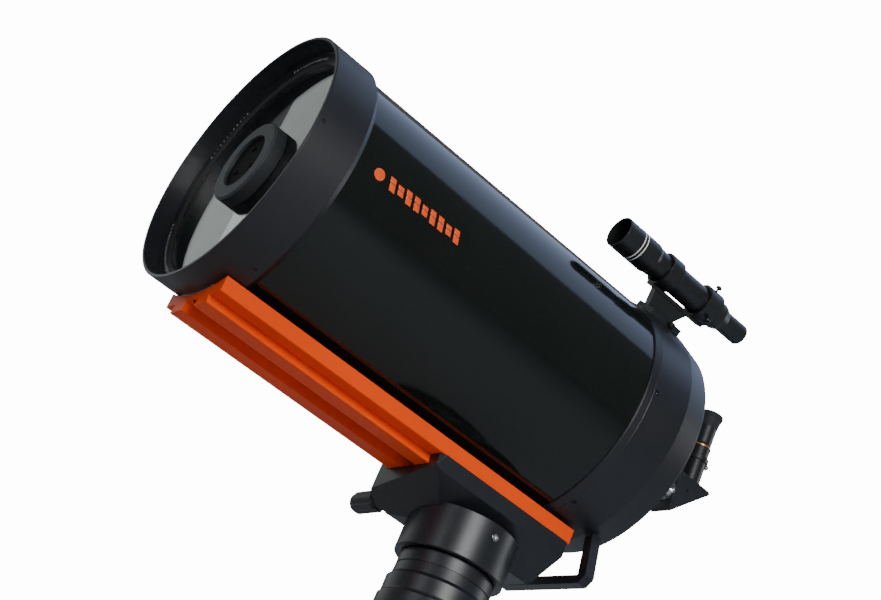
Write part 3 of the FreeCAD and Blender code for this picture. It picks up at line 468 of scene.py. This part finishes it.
def buildPlateScrews():
    mesh = bmesh.new()
    for side in (-1, 1):
        for station, height in plateScrews["places"]:
            cone = bmesh.ops.create_cone(mesh, cap_ends=True, segments=24, radius1=plateScrews["radius"],
                                         radius2=plateScrews["radius"] * 0.72, depth=plateScrews["height"])["verts"]
            crown = [face for vert in cone for face in vert.link_faces
                     if len(face.verts) == 24 and face.normal.z > 0.5]
            bmesh.ops.inset_individual(mesh, faces=list(set(crown)), thickness=plateScrews["radius"] * 0.3,
                                       depth=-plateScrews["height"] * 0.5)
            verts = [vert for vert in mesh.verts if not vert.tag]
            bmesh.ops.rotate(mesh, cent=(0, 0, 0), matrix=Matrix.Rotation(side * math.pi / 2, 3, "Y"), verts=verts)
            bmesh.ops.translate(mesh, verts=verts, vec=(side * (plateScrews["half"] + plateScrews["height"] * 0.45),
                                                        alongTube(station), opticalHeight + height))
            for vert in mesh.verts:
                vert.tag = True
    finishPiece("plateScrews", mesh, materials["black_steel"], "diagonal", 30)


buildLining()
buildTubeMark()
buildRingTicks()
buildFinderBands()
buildEyepieceBand()
buildPlateScrews()
print("stage: added pieces built")


# ---- stage, light and camera ----
# floorGlow and seenWorld reach camera rays only, so reflections and shadows keep the soft world
stageLook = {"floorSize": 40.0, "floorColor": (0.78, 0.78, 0.77), "floorGlow": 0.8, "seenWorld": 14.0,
             "softWorld": 0.16}


def buildFloor():
    # pale floor, clear when seen from below
    mesh = bmesh.new()
    bmesh.ops.create_grid(mesh, x_segments=2, y_segments=2, size=stageLook["floorSize"] / 2)
    data = bpy.data.meshes.new("floor")
    mesh.to_mesh(data)
    mesh.free()
    floor = bpy.data.objects.new("floor", data)
    bpy.context.scene.collection.objects.link(floor)
    material = bpy.data.materials.new("floorPaper")
    material.use_nodes = True
    tree = material.node_tree
    shader = tree.nodes["Principled BSDF"]
    noise = tree.nodes.new("ShaderNodeTexNoise")
    noise.inputs["Scale"].default_value = 3.0
    mix = tree.nodes.new("ShaderNodeMix")
    mix.data_type = "RGBA"
    mix.inputs[6].default_value = (*stageLook["floorColor"], 1)
    mix.inputs[7].default_value = (*[c * 1.03 for c in stageLook["floorColor"]], 1)
    tree.links.new(noise.outputs[0], mix.inputs[0])
    tree.links.new(mix.outputs[2], shader.inputs["Base Color"])
    shader.inputs["Roughness"].default_value = 0.85
    clear = tree.nodes.new("ShaderNodeBsdfTransparent")
    shape = tree.nodes.new("ShaderNodeNewGeometry")
    choose = tree.nodes.new("ShaderNodeMixShader")
    path = tree.nodes.new("ShaderNodeLightPath")
    glow = tree.nodes.new("ShaderNodeEmission")
    seen = mathNode(tree, "MULTIPLY", path.outputs["Is Camera Ray"], stageLook["floorGlow"])
    tree.links.new(seen, glow.inputs["Strength"])
    lit = tree.nodes.new("ShaderNodeAddShader")
    tree.links.new(shader.outputs[0], lit.inputs[0])
    tree.links.new(glow.outputs[0], lit.inputs[1])
    tree.links.new(shape.outputs["Backfacing"], choose.inputs[0])
    tree.links.new(lit.outputs[0], choose.inputs[1])
    tree.links.new(clear.outputs[0], choose.inputs[2])
    tree.links.new(choose.outputs[0], tree.nodes["Material Output"].inputs["Surface"])
    data.materials.append(material)


def areaLight(name, place, target, size, power, color=(1, 1, 1), spread=180.0):
    data = bpy.data.lights.new(name, "AREA")
    data.shape = "RECTANGLE"
    data.size, data.size_y = size
    data.energy = power
    data.color = color
    data.spread = math.radians(spread)
    light = bpy.data.objects.new(name, data)
    bpy.context.scene.collection.objects.link(light)
    direction = Vector(target) - Vector(place)
    light.visible_camera = False
    light.matrix_world = Matrix.Translation(place) @ direction.to_track_quat("-Z", "Y").to_matrix().to_4x4()


def buildWorld():
    world = bpy.data.worlds.new("paleStudio")
    bpy.context.scene.world = world
    world.use_nodes = True
    tree = world.node_tree
    back = tree.nodes["Background"]
    back.inputs["Color"].default_value = (0.93, 0.97, 1.0, 1)
    back.inputs["Strength"].default_value = stageLook["softWorld"]
    seen = tree.nodes.new("ShaderNodeBackground")
    seen.inputs["Color"].default_value = (1, 1, 1, 1)
    seen.inputs["Strength"].default_value = stageLook["seenWorld"]
    path = tree.nodes.new("ShaderNodeLightPath")
    choose = tree.nodes.new("ShaderNodeMixShader")
    tree.links.new(path.outputs["Is Camera Ray"], choose.inputs[0])
    tree.links.new(back.outputs[0], choose.inputs[1])
    tree.links.new(seen.outputs[0], choose.inputs[2])
    tree.links.new(choose.outputs[0], tree.nodes["World Output"].inputs["Surface"])


cameraLook = {"lens": 67.05, "sensor": 36.0, "place": (1.925, -1.256, -0.609),
              "right": (0.60105, 0.70914, 0.36859), "up": (0.15749, -0.55724, 0.81528),
              "ahead": (-0.78354, 0.43197, 0.44661)}


def buildCamera():
    data = bpy.data.cameras.new("studioCamera")
    data.lens = cameraLook["lens"]
    data.sensor_width = cameraLook["sensor"]
    camera = bpy.data.objects.new("studioCamera", data)
    bpy.context.scene.collection.objects.link(camera)
    right, up, ahead = (Vector(cameraLook[key]) for key in ("right", "up", "ahead"))
    turn = Matrix((right, up, -ahead)).transposed().to_4x4()
    camera.matrix_world = Matrix.Translation(cameraLook["place"]) @ turn
    bpy.context.scene.camera = camera


buildFloor()
buildWorld()
buildCamera()
areaLight("keySoftbox", (2.9, -0.9, 0.9), (0, 0, 0.35), (1.4, 1.2), 10, spread=60.0)
areaLight("topSoftbox", (-0.05, 1.3, 2.6), (-0.05, 0.0, 0.47), (2.3, 2.6), 22, (0.50, 0.64, 1.0))
areaLight("rightPanel", (-3.2, -2.68, 2.5), (0, -2.68, 2.5), (1.9, 3.2), 12, (0.93, 1.0, 0.97))
areaLight("leftPanel", (-3.2, -1.1, 1.35), (0, -1.1, 1.35), (1.7, 1.5), 6, (0.93, 1.0, 0.97))
areaLight("frontFill", (0.9, -3.4, 1.2), (0, -0.55, 0.47), (1.2, 1.2), 14, (0.95, 0.98, 1.0))
areaLight("rearFill", (0.9, 3.3, 1.5), (0, 0.3, 0.4), (1.4, 1.2), 16, (0.95, 0.98, 1.0))
print("stage: studio set")
